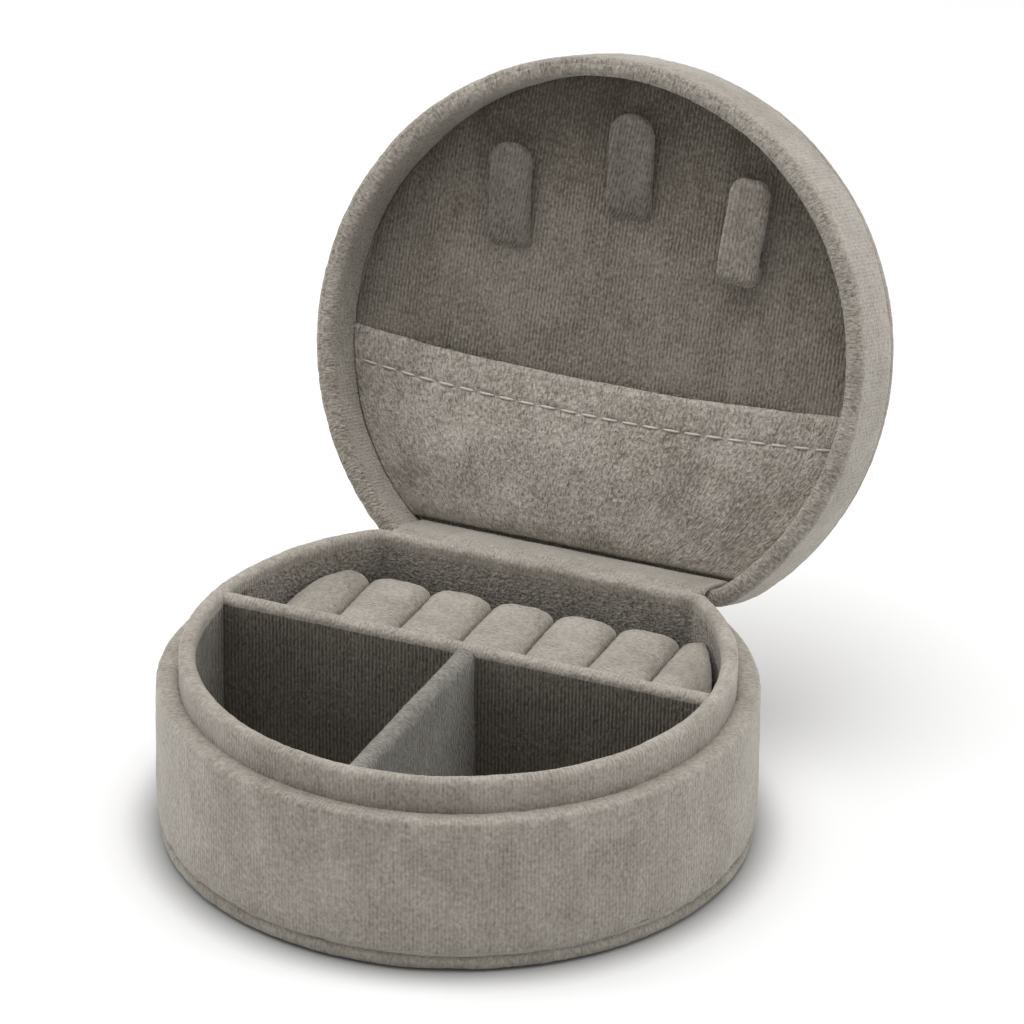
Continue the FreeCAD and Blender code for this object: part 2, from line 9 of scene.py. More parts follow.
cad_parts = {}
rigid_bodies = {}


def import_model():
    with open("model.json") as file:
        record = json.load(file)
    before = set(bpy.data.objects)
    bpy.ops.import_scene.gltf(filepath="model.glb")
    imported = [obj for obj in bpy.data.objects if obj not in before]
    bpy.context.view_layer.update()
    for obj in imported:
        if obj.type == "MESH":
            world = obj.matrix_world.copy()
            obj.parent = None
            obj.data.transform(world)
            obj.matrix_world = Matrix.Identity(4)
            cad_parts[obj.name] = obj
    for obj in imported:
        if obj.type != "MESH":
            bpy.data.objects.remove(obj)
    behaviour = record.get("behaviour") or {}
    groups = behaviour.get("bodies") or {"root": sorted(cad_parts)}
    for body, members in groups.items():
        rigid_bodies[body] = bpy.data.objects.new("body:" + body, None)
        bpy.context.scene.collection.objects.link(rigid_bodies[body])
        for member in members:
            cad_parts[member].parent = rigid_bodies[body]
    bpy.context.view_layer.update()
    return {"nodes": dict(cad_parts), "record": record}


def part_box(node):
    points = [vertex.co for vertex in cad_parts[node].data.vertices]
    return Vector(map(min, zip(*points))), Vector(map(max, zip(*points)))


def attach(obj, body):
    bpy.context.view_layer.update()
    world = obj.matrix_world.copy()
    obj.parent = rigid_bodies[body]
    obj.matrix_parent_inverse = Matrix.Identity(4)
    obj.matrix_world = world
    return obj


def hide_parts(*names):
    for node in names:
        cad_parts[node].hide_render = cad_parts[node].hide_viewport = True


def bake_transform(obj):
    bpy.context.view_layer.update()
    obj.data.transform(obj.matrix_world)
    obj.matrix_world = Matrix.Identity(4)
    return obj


# A round velvet travel case for jewellery, standing open. Metres, with X along the
# hinge, Y towards the hinge and Z up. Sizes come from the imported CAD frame. Pieces
# of the lid are built for the shut lid, where they are easy to describe, and swing
# open at the end.

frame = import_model()

MM = 0.001

# ------------------------------------------------------------ sizes from the frame
JOINT = frame["record"]["behaviour"]["joints"][0]
AXIS = Vector(JOINT["pos_m"])
OPEN = math.radians(JOINT["range_deg"][1])
SWING = Matrix.Translation(AXIS) @ Matrix.Rotation(-OPEN, 4, "X") @ Matrix.Translation(-AXIS)
BASE = JOINT["parent"]
LID = JOINT["child"]


def shut_points(node):
    """Points of a lid node's CAD solid with the lid shut."""
    back = SWING.inverted()
    return [back @ v.co for v in frame["nodes"][node].data.vertices]


def shut_box(node):
    """Box of a lid node with the lid shut, where its sizes are easy to read."""
    spots = shut_points(node)
    low = Vector([min(s[i] for s in spots) for i in range(3)])
    high = Vector([max(s[i] for s in spots) for i in range(3)])
    return low, high


WALL_LOW, WALL_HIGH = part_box("base_wall_velvet")
LINER_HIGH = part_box("liner_velvet")[1]
FLOOR_LOW, FLOOR_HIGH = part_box("floor_velvet")
LONG_LOW, LONG_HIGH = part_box("long_divider_velvet")
SHORT_LOW, SHORT_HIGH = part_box("short_divider_velvet")
RIM_LOW, RIM_HIGH = shut_box("lid_wall_velvet")
CROWN_HIGH = shut_box("lid_crown_velvet")[1]
PANEL_LOW, PANEL_HIGH = shut_box("lid_panel_velvet")
POCKET_LOW = shut_box("lid_pocket")[0]

# base: radius of the round front, distance to the flat back, heights
RADIUS = WALL_HIGH[0]
FLAT = WALL_HIGH[1]
WALL_TOP = WALL_HIGH[2]
BAND = WALL_LOW[2]
LIP_RADIUS = LINER_HIGH[0]
LIP_FLAT = LINER_HIGH[1]
LIP_TOP = LINER_HIGH[2]
INNER_RADIUS = FLOOR_HIGH[0]
INNER_FLAT = FLOOR_HIGH[1]
FLOOR_TOP = FLOOR_HIGH[2]

# lid, shut: heights of its rim, sides, top and inner panel, and its hollow
RIM = RIM_LOW[2]
SIDE_TOP = RIM_HIGH[2]
CROWN = CROWN_HIGH[2]
PANEL = PANEL_LOW[2]
HOLLOW_RADIUS = PANEL_HIGH[0]
HOLLOW_FLAT = PANEL_HIGH[1]

ROLLS = 7
CORNER = 7 * MM            # upright corners of the D, pile included
COVER_INSET = 0.35 * MM    # bottom and top covers sit in from the walls
SEAM_LAP = 0.25 * MM       # how far one cover runs behind the next
SHUT_GAP = 0.05 * MM       # pile allowed past the CAD face where lid and base meet
RIB = 0.78 * MM            # pitch of the woven ribs

# finest unevenness of every pile: size of a wave, its height, seed
FUZZ = (1.15 * MM, 0.1 * MM, 100.0)

# pocket: its open edge sags in the middle and has a hem sewn along it
MOUTH_BOW = 2.4 * MM
MOUTH_DROP = 1.0 * MM
HEM = 6.8 * MM
STITCH_PITCH = 4.6 * MM
STITCH_LENGTH = 3.5 * MM
STITCH_RADIUS = 0.27 * MM


# ------------------------------------------------------------------- mesh building
def d_outline(radius, flat, corner, count):
    """Evenly spaced points round a D with rounded corners, from the middle of its flat."""
    corner = max(corner, 0.2 * MM)
    across = math.sqrt((radius - corner) ** 2 - (flat - corner) ** 2)
    turn = math.atan2(flat - corner, across)
    points = [Vector((0, flat, 0)), Vector((across, flat, 0))]
    corner_steps = 14
    for i in range(1, corner_steps + 1):
        a = math.pi / 2 + (turn - math.pi / 2) * i / corner_steps
        points.append(Vector((across + corner * math.cos(a), flat - corner + corner * math.sin(a), 0)))
    front_steps = 240
    for i in range(1, front_steps + 1):
        a = turn - (math.pi / 2 + turn) * i / front_steps
        points.append(Vector((radius * math.cos(a), radius * math.sin(a), 0)))
    lengths = [0.0]
    for a, b in zip(points, points[1:]):
        lengths.append(lengths[-1] + (b - a).length)
    half = count // 2
    side = []
    spot = 0
    for i in range(half + 1):
        want = lengths[-1] * i / half
        while spot < len(points) - 2 and lengths[spot + 1] < want:
            spot += 1
        part = (want - lengths[spot]) / max(lengths[spot + 1] - lengths[spot], 1e-12)
        side.append(points[spot].lerp(points[spot + 1], min(part, 1.0)))
    other = [Vector((-p.x, p.y, 0)) for p in side[-2:0:-1]]
    return side + other, 2 * lengths[-1]


def add_object(name, data):
    item = bpy.data.objects.new(name, data)
    bpy.context.scene.collection.objects.link(item)
    return item


def make_piece(name, rings, along, closed_ring=True, caps=(False, False)):
    """Mesh from rows of points, with a cloth UV in metres for ribs and nap."""
    mesh = bpy.data.meshes.new(name)
    build = bmesh.new()
    rows = [[build.verts.new(p) for p in ring] for ring in rings]
    layer = build.loops.layers.uv.new("cloth")
    down = [0.0]
    for a, b in zip(rings, rings[1:]):
        down.append(down[-1] + sum((q - p).length for p, q in zip(a, b)) / len(a))
    count = len(rings[0])
    for j in range(len(rings) - 1):
        k = j + 1
        for i in range(count if closed_ring else count - 1):
            n = (i + 1) % count
            face = build.faces.new((rows[j][i], rows[j][n], rows[k][n], rows[k][i]))
            spots = ((i, down[j]), (i + 1, down[j]), (i + 1, down[k]), (i, down[k]))
            for loop, (u, v) in zip(face.loops, spots):
                loop[layer].uv = (along * u / count, v)
    for wanted, ring in zip(caps, (rows[0], rows[-1])):
        if wanted:
            face = build.faces.new(ring)
            for loop in face.loops:
                loop[layer].uv = (loop.vert.co.x, loop.vert.co.y)
    bmesh.ops.recalc_face_normals(build, faces=build.faces)
    for face in build.faces:
        face.smooth = True
    build.to_mesh(mesh)
    build.free()
    return add_object(name, mesh)


def skin(build, rings):
    """Close rows of points into a capped tube inside a mesh; gives its side faces."""
    rows = [[build.verts.new(p) for p in ring] for ring in rings]
    sides = []
    for a, b in zip(rows, rows[1:]):
        for k in range(len(a)):
            n = (k + 1) % len(a)
            sides.append(build.faces.new((a[k], a[n], b[n], b[k])))
    build.faces.new(rows[0])
    build.faces.new(rows[-1])
    for face in sides:
        face.smooth = True
    return sides


def sweep_d(name, stations, count=520, caps=(False, False)):
    """Sweep a side profile round the D. A station is radius, flat, height."""
    rings = []
    reach = 0
    for radius, flat, z in stations:
        corner = max(CORNER - (RADIUS - radius), 1.5 * MM) * min(1.0, radius / RADIUS)
        outline, length = d_outline(radius, flat, corner, count)
        reach = max(reach, length)
        rings.append([Vector((p.x, p.y, z)) for p in outline])
    return make_piece(name, rings, reach, caps=caps)


def arc(cx, cz, radius, start, end, steps):
    """Points on a quarter or half round of a side profile; angles in degrees."""
    found = []
    for i in range(steps + 1):
        a = math.radians(start + (end - start) * i / steps)
        found.append((cx + radius * math.cos(a), cz + radius * math.sin(a)))
    return found


def swell(value, power):
    """Push a sine or cosine outwards, which squares off a round section."""
    return math.copysign(abs(value) ** power, value)


def soften(piece, *layers):
    """Move each point along its normal by a few layers of smooth noise."""
    mesh = piece.data
    moves = []
    for v in mesh.vertices:
        amount = 0.0
        for size, strength, seed in layers:
            amount += strength * noise.noise(v.co / size + Vector((seed, seed * 1.7, seed * 0.3)))
        moves.append(v.co + v.normal * amount)
    for v, spot in zip(mesh.vertices, moves):
        v.co = spot
    mesh.update()


def waver(piece, height, reach, amount, seed):
    """Let a seam wander up and down a little, as a hand-pulled edge does."""
    for v in piece.data.vertices:
        near = max(0.0, 1 - abs(v.co.z - height) / reach)
        spot = Vector((v.co.x, v.co.y, 0)) / (4.5 * MM) + Vector((seed, 0, 0))
        v.co.z += amount * near * noise.noise(spot)
    piece.data.update()


def clear_knuckles(piece):
    """Press a cover in along the back edge where the hinge knuckles turn."""
    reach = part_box("hinge_pin")[1][0] + 0.6 * MM
    front = AXIS.y - 1.35 * MM
    for v in piece.data.vertices:
        near = abs(v.co.x) < reach and abs(v.co.z - AXIS.z) < 1.6 * MM
        if near and v.co.y > front:
            v.co.y = front
    piece.data.update()


def keep_between(piece, low, high):
    """Stop a soft surface short of what it rests on, or meets when the lid shuts."""
    for v in piece.data.vertices:
        v.co.z = min(max(v.co.z, low), high)
    piece.data.update()


def lay_flat(piece):
    """Cloth coordinates straight across a flat cover, wherever it faces up or down."""
    layer = piece.data.uv_layers["cloth"]
    for face in piece.data.polygons:
        if abs(face.normal.z) > 0.8:
            for loop in face.loop_indices:
                co = piece.data.vertices[piece.data.loops[loop].vertex_index].co
                layer.data[loop].uv = (co.x, co.y)


def in_lid(piece):
    """A piece built for the shut lid swings open with it."""
    piece.matrix_world = SWING
    bpy.context.view_layer.update()
    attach(piece, LID)


# ----------------------------------------------------------------------- materials
class Graph:
    """Short names for the few node kinds that the cloths are made of."""

    def __init__(self, name):
        self.material = bpy.data.materials.new(name)
        self.material.use_nodes = True
        self.tree = self.material.node_tree
        self.shader = self.tree.nodes["Principled BSDF"]
        self.coords = self.tree.nodes.new("ShaderNodeTexCoord").outputs["Object"]

    def put(self, socket, value):
        if isinstance(value, bpy.types.NodeSocket):
            self.tree.links.new(value, socket)
        else:
            socket.default_value = value

    def math(self, kind, *values):
        node = self.tree.nodes.new("ShaderNodeMath")
        node.operation = kind
        for socket, value in zip(node.inputs, values):
            self.put(socket, value)
        return node.outputs[0]

    def cloth(self):
        node = self.tree.nodes.new("ShaderNodeUVMap")
        node.uv_map = "cloth"
        return node.outputs[0]

    def strokes(self, wide, long, detail=2.0, bend=0.0):
        """Noise drawn out down the cloth, like brushed pile."""
        node = self.tree.nodes.new("ShaderNodeMapping")
        self.put(node.inputs["Vector"], self.cloth())
        node.inputs["Scale"].default_value = (1 / wide, 1 / long, 1)
        return self.noise(1.0, detail, bend, node.outputs[0])

    def blend_in(self, total, part, share):
        """Add a share of a 0 to 1 pattern to a total that stays about a half."""
        shifted = self.math("SUBTRACT", part, 0.5)
        return self.math("MULTIPLY_ADD", shifted, share, total)

    def stretch(self, scale):
        node = self.tree.nodes.new("ShaderNodeMapping")
        self.put(node.inputs["Vector"], self.coords)
        node.inputs["Scale"].default_value = scale
        return node.outputs[0]

    def noise(self, size, detail=3.0, bend=0.0, where=None):
        """Noise between 0 and 1 whose blotches are about size metres wide."""
        node = self.tree.nodes.new("ShaderNodeTexNoise")
        self.put(node.inputs["Vector"], where if where is not None else self.coords)
        node.inputs["Scale"].default_value = 1.0 / size
        node.inputs["Detail"].default_value = detail
        node.inputs["Distortion"].default_value = bend
        return node.outputs["Fac"]

    def ribs(self, pitch):
        """Fine ribs across the cloth's own length, 0 in a groove and 1 on a rib."""
        split = self.tree.nodes.new("ShaderNodeSeparateXYZ")
        self.put(split.inputs[0], self.cloth())
        wander = self.math("MULTIPLY", self.noise(3 * MM, 2.0), 2.2)
        turn = self.math("MULTIPLY", split.outputs[0], 2 * math.pi / pitch)
        wave = self.math("SINE", self.math("ADD", turn, wander))
        return self.math("MULTIPLY_ADD", wave, 0.5, 0.5)

    def towards(self, start, end):
        """0 at one place along the piece's own Y and 1 at another; it places a fade's painted shade."""
        split = self.tree.nodes.new("ShaderNodeSeparateXYZ")
        self.put(split.inputs[0], self.coords)
        node = self.tree.nodes.new("ShaderNodeMapRange")
        node.interpolation_type = "SMOOTHSTEP"
        self.put(node.inputs["Value"], split.outputs[1])
        node.inputs["From Min"].default_value = start
        node.inputs["From Max"].default_value = end
        return node.outputs[0]

    def ramp(self, value, *stops):
        node = self.tree.nodes.new("ShaderNodeValToRGB")
        while len(node.color_ramp.elements) < len(stops):
            node.color_ramp.elements.new(0.5)
        for element, (place, color) in zip(node.color_ramp.elements, stops):
            element.position = place
            element.color = (*color, 1)
        self.put(node.inputs[0], value)
        return node.outputs[0]

    def bump(self, height, distance):
        node = self.tree.nodes.new("ShaderNodeBump")
        node.inputs["Strength"].default_value = 1.0
        node.inputs["Distance"].default_value = distance
        self.put(node.inputs["Height"], height)
        self.put(self.shader.inputs["Normal"], node.outputs[0])


def velvet(name, tone, ribs=0.0, pile=1.0, patch=0.5, sheen=0.5, depth=0.2 * MM, stroke=(0.5, 1.25),
           pits=1.0, fade=None):
    """Short pile: brushed patches, strokes of nap, dark pits and faint woven ribs. A fade, where given,
    is painted shade: it darkens the colour along the piece's own Y.
    """
    g = Graph(name)
    total = 0.5
    total = g.blend_in(total, g.noise(15 * MM, 3.0, 0.8), patch)
    total = g.blend_in(total, g.strokes(3.5 * MM, 9 * MM, 3.0, 0.7), 0.6 * patch)
    total = g.blend_in(total, g.strokes(stroke[0] * MM, stroke[1] * MM, 3.0, 0.35), 1.15 * pile)
    total = g.blend_in(total, g.noise(0.75 * MM, 3.0, 0.5), 0.8 * pile)
    gaps = g.math("SUBTRACT", 0.42, g.strokes(0.55 * MM, 1.1 * MM, 1.0, 0.8))
    total = g.math("SUBTRACT", total, g.math("MULTIPLY", g.math("MAXIMUM", gaps, 0.0), 2.2 * pits))
    if ribs:
        where = g.math("MULTIPLY", g.noise(11 * MM, 2.0), 2.0 * ribs)
        rib = g.math("SUBTRACT", g.ribs(RIB), 0.5)
        total = g.math("MULTIPLY_ADD", rib, where, total)
    dark = [share * c for share, c in zip((0.54, 0.51, 0.47), tone)]
    light = [share * c for share, c in zip((1.46, 1.47, 1.49), tone)]
    shade = total
    # painted shade: the fade darkens the base colour along the piece's Y; the bump still follows the
    # unshaded total
    if fade:
        shade = g.math("MULTIPLY_ADD", g.towards(*fade[:2]), -fade[2], total)
    g.put(g.shader.inputs["Base Color"], g.ramp(shade, (0.14, dark), (0.86, light)))
    g.shader.inputs["Roughness"].default_value = 0.92
    g.shader.inputs["Specular IOR Level"].default_value = 0.1
    g.shader.inputs["Sheen Weight"].default_value = sheen
    g.shader.inputs["Sheen Roughness"].default_value = 0.4
    g.shader.inputs["Sheen Tint"].default_value = (0.98, 0.94, 0.88, 1)
    g.bump(total, 1.7 * depth)
    return g.material


def plain_cloth(name, dark, light, size, rough):
    g = Graph(name)
    grain = g.noise(size, 4.0, 0.4)
    g.put(g.shader.inputs["Base Color"], g.ramp(grain, (0.3, dark), (0.7, light)))
    g.shader.inputs["Roughness"].default_value = rough
    g.bump(grain, 0.1 * MM)
    return g.material


def steel():
    g = Graph("pressed_steel")
    brushed = g.noise(0.5 * MM, 3.0, 0.0, g.stretch((0.04, 1, 1)))
    color = g.ramp(brushed, (0.2, (0.42, 0.42, 0.41)), (0.8, (0.62, 0.61, 0.6)))
    g.put(g.shader.inputs["Base Color"], color)
    g.shader.inputs["Metallic"].default_value = 1.0
    g.put(g.shader.inputs["Roughness"], g.math("MULTIPLY_ADD", brushed, 0.25, 0.2))
    g.bump(brushed, 0.02 * MM)
    return g.material


OUTSIDE = velvet("velvet_outside", (0.305, 0.281, 0.248), ribs=0.1, pile=0.62, patch=0.5, sheen=0.45,
                 stroke=(0.75, 1.0), pits=0.2)
NAPPED = velvet("velvet_napped", (0.32, 0.294, 0.259), ribs=0.1, pile=0.62, sheen=0.45, depth=0.25 * MM,
                stroke=(0.55, 1.0), pits=0.25)
BRUSHED = velvet("velvet_brushed", (0.325, 0.297, 0.26), pile=1.0, sheen=0.45, depth=0.35 * MM,
                 stroke=(0.45, 1.2), pits=0.6)
RIBBED = velvet("velvet_ribbed", (0.17, 0.155, 0.131), ribs=0.42, pile=0.9, sheen=0.35, depth=0.25 * MM)
BACKED = velvet("velvet_back_wall", (0.31, 0.281, 0.247), pile=1.3, sheen=0.4, depth=0.4 * MM,
                stroke=(0.85, 0.6), pits=1.0)
SMOOTH = velvet("velvet_smooth", (0.20, 0.194, 0.176), pile=0.9, sheen=0.4, pits=0.6)
# painted shade: the fade darkens the panel towards its free edge, where the lid's rim shades it when
# open; the compartment floor shares this velvet and darkens the same way towards the front
PANELLED = velvet("velvet_panel", (0.204, 0.183, 0.155), ribs=0.26, pile=1.05, patch=0.6, sheen=0.35,
                  depth=0.25 * MM, stroke=(0.45, 0.9), pits=0.5,
                  fade=(-0.3 * HOLLOW_RADIUS, -HOLLOW_RADIUS, 0.26))
TABBED = velvet("velvet_tab", (0.165, 0.149, 0.128), ribs=0.2, pile=1.0, sheen=0.4, depth=0.25 * MM,
                pits=0.4)
# painted light: a lighter copy of the tab velvet for the right tab, which is not slanted, as if its
# face caught more light; all three tabs are one fabric
TAB_LIT_COPY = velvet("velvet_tab_lit_copy", (0.235, 0.213, 0.186), ribs=0.2, pile=1.0, sheen=0.4,
               depth=0.25 * MM, pits=0.4)
POCKETED = velvet("velvet_pocket", (0.41, 0.372, 0.33), pile=1.1, patch=0.75, sheen=0.5,
                  depth=0.35 * MM, stroke=(0.48, 1.3), pits=0.8)
BANDED = velvet("velvet_band", (0.31, 0.286, 0.248), pile=0.7, sheen=0.4, depth=0.25 * MM, pits=0.3)
THREAD = plain_cloth("sewing_thread", (0.43, 0.40, 0.36), (0.64, 0.605, 0.55), 0.25 * MM, 0.7)
BOARD = plain_cloth("grey_board", (0.30, 0.28, 0.25), (0.42, 0.40, 0.36), 0.6 * MM, 0.9)
FOAM = plain_cloth("padding_foam", (0.50, 0.48, 0.45), (0.66, 0.64, 0.60), 0.8 * MM, 0.95)
STEEL = steel()


def finish_piece(piece, material, slot, *nodes):
    """Material, and the CAD nodes that a piece stands for, which are hidden. The slot argument is not
    used.
    """
    piece.data.materials.clear()
    piece.data.materials.append(material)
    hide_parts(*nodes)


# ---------------------------------------------------------------------- base shell
def bottom_cover():
    """Velvet over the bottom panel: a flat sole and a soft round band."""
    edge = RADIUS - COVER_INSET
    flat = FLAT - COVER_INSET
    stations = []
    for part in (0.02, 0.2, 0.45, 0.7, 0.88, 0.96):
        stations.append((edge * part, flat * part, 0.0))
    soft = 1.5 * MM
    groove = 0.6 * MM
    side = arc(soft, soft, soft, 270, 180, 6)
    side += arc(soft, BAND - groove - soft, soft, 180, 95, 7)
    inner = 2.9 * MM
    side += [(inner, BAND - 0.9 * groove), (inner, BAND + SEAM_LAP)]
    for inset, z in side:
        stations.append((edge - inset, flat - inset, z))
    piece = sweep_d("bottom_cover", stations, caps=(True, False))
    lay_flat(piece)
    soften(piece, (9 * MM, 0.14 * MM, 3.0), (2.2 * MM, 0.09 * MM, 5.0), FUZZ)
    waver(piece, BAND, 1.6 * MM, 0.45 * MM, 3.0)
    keep_between(piece, 0.0, WALL_TOP)
    finish_piece(piece, BANDED, "velvet_bottom", "base_bottom_velvet")
    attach(piece, BASE)


def wall_cover():
    """Velvet drawn up the outer wall and over the ledge."""
    edge = 1.1 * MM
    turn = 0.9 * MM
    profile = [(3.0 * MM, BAND + SEAM_LAP), (1.8 * MM, BAND + 0.1 * MM)]
    profile += arc(turn, BAND + turn, turn, 265, 180, 7)
    height = WALL_TOP - edge - BAND - turn
    steps = 22
    for i in range(1, steps):
        part = i / steps
        bulge = 0.3 * MM * math.sin(math.pi * part ** 0.6)
        profile.append((-bulge, BAND + turn + height * part))
    profile += arc(edge, WALL_TOP - edge, edge, 180, 90, 6)
    stations = [(RADIUS - inset, FLAT - inset, z) for inset, z in profile]
    steps = 6
    for i in range(1, steps + 1):
        part = i / steps
        radius = RADIUS - edge + (LIP_RADIUS - RADIUS + edge) * part
        flat = FLAT - edge + (LIP_FLAT - FLAT + edge) * part
        stations.append((radius, flat, WALL_TOP - 0.35 * MM * part ** 3))
    tuck = 0.3 * MM
    stations.append((LIP_RADIUS - tuck, LIP_FLAT - tuck, WALL_TOP - 4 * tuck))
    piece = sweep_d("wall_cover", stations)
    soften(piece, (14 * MM, 0.2 * MM, 1.0), (3.0 * MM, 0.08 * MM, 2.0), FUZZ)
    waver(piece, BAND + 0.4 * MM, 2.4 * MM, 0.75 * MM, 8.0)
    clear_knuckles(piece)
    keep_between(piece, 0.0, WALL_TOP + SHUT_GAP)
    finish_piece(piece, OUTSIDE, "velvet", "base_wall_velvet")
    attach(piece, BASE)


def liner_cover():
    """Velvet inside the base, rolled over the lip that locates the lid."""
    wide = LIP_RADIUS - INNER_RADIUS
    deep = LIP_FLAT - INNER_FLAT
    crest = LIP_TOP - wide / 2
    foot = FLOOR_TOP - 0.6 * MM
    stations = []
    steps = 26
    for i in range(steps + 1):
        stations.append((INNER_RADIUS, INNER_FLAT, foot + (crest - foot) * i / steps))
    steps = 14
    for i in range(1, steps):
        a = math.pi * i / steps
        across = 0.5 - 0.5 * math.cos(a)
        z = crest + wide / 2 * math.sin(a) ** 0.8
        stations.append((INNER_RADIUS + wide * across, INNER_FLAT + deep * across, z))
    steps = 8
    for i in range(steps + 1):
        z = crest + (WALL_TOP - 1.0 * MM - crest) * i / steps
        stations.append((LIP_RADIUS, LIP_FLAT, z))
    piece = sweep_d("liner_cover", stations)
    soften(piece, (12 * MM, 0.16 * MM, 7.0), (2.6 * MM, 0.07 * MM, 8.0), FUZZ)
    finish_piece(piece, RIBBED, "velvet_ribbed", "liner_velvet")
    piece.data.materials.append(NAPPED)
    piece.data.materials.append(BACKED)
    rolled = crest - 1.0 * MM
    outside = INNER_RADIUS + 0.6 * MM
    behind_rolls = LONG_HIGH[1] + 6 * MM
    for face in piece.data.polygons:
        if face.center.z > rolled or face.center.xy.length > outside:
            face.material_index = 1
        elif face.center.y > behind_rolls:
            face.material_index = 2
    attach(piece, BASE)


def floor_cover():
    """Covered board on the bottom of the compartments."""
    gap = 0.1 * MM
    stations = []
    for part in (0.02, 0.25, 0.5, 0.75, 0.93):
        stations.append((INNER_RADIUS * part, INNER_FLAT * part, FLOOR_TOP))
    for z in (FLOOR_TOP - gap, FLOOR_LOW[2]):
        stations.append((INNER_RADIUS - gap, INNER_FLAT - gap, z))
    piece = sweep_d("floor_cover", stations, caps=(True, False))
    lay_flat(piece)
    soften(piece, (10 * MM, 0.1 * MM, 4.0))
    finish_piece(piece, PANELLED, "velvet_ribbed", "floor_velvet")
    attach(piece, BASE)


# ------------------------------------------------------------------------ dividers
def divider_profile(half, low, top, round_top):
    """Closed side profile of a covered board: faces slightly full, rounded top."""
    full = 0.12 * MM
    crest = top - round_top
    rise = 18
    face = []
    for i in range(rise + 1):
        part = i / rise
        face.append((half + full * math.sin(math.pi * part), low + (crest - low) * part))
    found = [(-out, z) for out, z in face]
    turn = 10
    for i in range(1, turn):
        a = math.pi * i / turn
        found.append((-half * math.cos(a), crest + round_top * math.sin(a) ** 0.85))
    return found + face[::-1]


def long_divider():
    """Covered board across the case, in front of the ring rolls."""
    middle = (LONG_LOW[1] + LONG_HIGH[1]) / 2
    half = (LONG_HIGH[1] - LONG_LOW[1]) / 2
    rings = []
    for side, z in divider_profile(half, LONG_LOW[2], LONG_HIGH[2], half):
        y = middle + side
        reach = math.sqrt(INNER_RADIUS ** 2 - y ** 2) + SEAM_LAP
        steps = 260
        rings.append([Vector((-reach + 2 * reach * i / steps, y, z)) for i in range(steps + 1)])
    piece = make_piece("long_divider_cover", rings, 2 * INNER_RADIUS, closed_ring=False)
    soften(piece, (16 * MM, 0.22 * MM, 11.0), (2.4 * MM, 0.06 * MM, 12.0), FUZZ)
    finish_piece(piece, RIBBED, "velvet_ribbed", "long_divider_velvet")
    crest = LONG_HIGH[2] - half
    piece.data.materials.append(NAPPED)
    for face in piece.data.polygons:
        if face.center.z > crest:
            face.material_index = 1
    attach(piece, BASE)


def short_divider():
    """Covered board that splits the front compartment."""
    middle = (SHORT_LOW[0] + SHORT_HIGH[0]) / 2
    half = (SHORT_HIGH[0] - SHORT_LOW[0]) / 2
    rings = []
    for side, z in divider_profile(half, SHORT_LOW[2], SHORT_HIGH[2], half):
        x = middle + side
        front = -math.sqrt(INNER_RADIUS ** 2 - x ** 2) - SEAM_LAP
        back = SHORT_HIGH[1] + 0.2 * MM
        steps = 130
        rings.append([Vector((x, front + (back - front) * i / steps, z)) for i in range(steps + 1)])
    piece = make_piece("short_divider_cover", rings, INNER_RADIUS, closed_ring=False)
    soften(piece, (14 * MM, 0.25 * MM, 13.0), (2.4 * MM, 0.06 * MM, 14.0), FUZZ)
    finish_piece(piece, SMOOTH, "velvet", "short_divider_velvet")
    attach(piece, BASE)


# ------------------------------------------------------------------------ ring bed
def ring_roll(number):
    """Padded roll with a round top; the first and last lean on the round wall."""
    node = "ring_roll_%d" % number
    low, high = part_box(node)
    middle = (low[0] + high[0]) / 2
    half = (high[0] - low[0]) / 2
    shoulder = 3.6 * MM
    crest = high[2] - shoulder
    foot = low[2]
    soft = 3.0 * MM
    rows = 12
    side = []
    for i in range(rows + 1):
        side.append((-1.0, foot + (crest - foot) * i / rows))
    turn = 28
    for i in range(1, turn):
        a = math.pi * i / turn
        across = swell(math.cos(a), 0.72)
        side.append((-across, crest + shoulder * math.sin(a) ** 0.8))
    for i in range(rows, -1, -1):
        side.append((1.0, foot + (crest - foot) * i / rows))
    rings = []
    steps = 60
    for across, z in side:
        ring = []
        x = middle + half * across
        wall = math.sqrt(max((INNER_RADIUS - 0.4 * MM) ** 2 - x ** 2, 0))
        back = min(high[1], wall)
        for i in range(steps + 1):
            part = i / steps
            from_end = min(part, 1 - part) * (back - low[1])
            fall = 1 - math.sqrt(max(0, 1 - (1 - min(from_end / soft, 1)) ** 2))
            lift = max(z - crest, 0)
            spot = Vector((x, low[1] + (back - low[1]) * part, z))
            spot.z -= lift * 0.35 * fall
            spot.x -= (x - middle) * 0.10 * fall
            if number in (1, ROLLS):
                towards_wall = max(0.0, across if number == ROLLS else -across)
                spot.z -= 0.55 * lift * towards_wall ** 2
                spot.x -= math.copysign(1.1 * MM * towards_wall, middle)
            ring.append(spot)
        rings.append(ring)
    piece = make_piece("ring_roll_pad_%d" % number, rings, high[1] - low[1], closed_ring=False)
    bm = bmesh.new()
    bm.from_mesh(piece.data)
    bmesh.ops.holes_fill(bm, edges=[e for e in bm.edges if e.is_boundary])
    bmesh.ops.recalc_face_normals(bm, faces=bm.faces)
    bm.to_mesh(piece.data)
    bm.free()
    soften(piece, (8 * MM, 0.22 * MM, 20.0 + number), (2.0 * MM, 0.06 * MM, 30.0 + number), FUZZ)
    finish_piece(piece, NAPPED, "velvet", node)
    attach(piece, BASE)


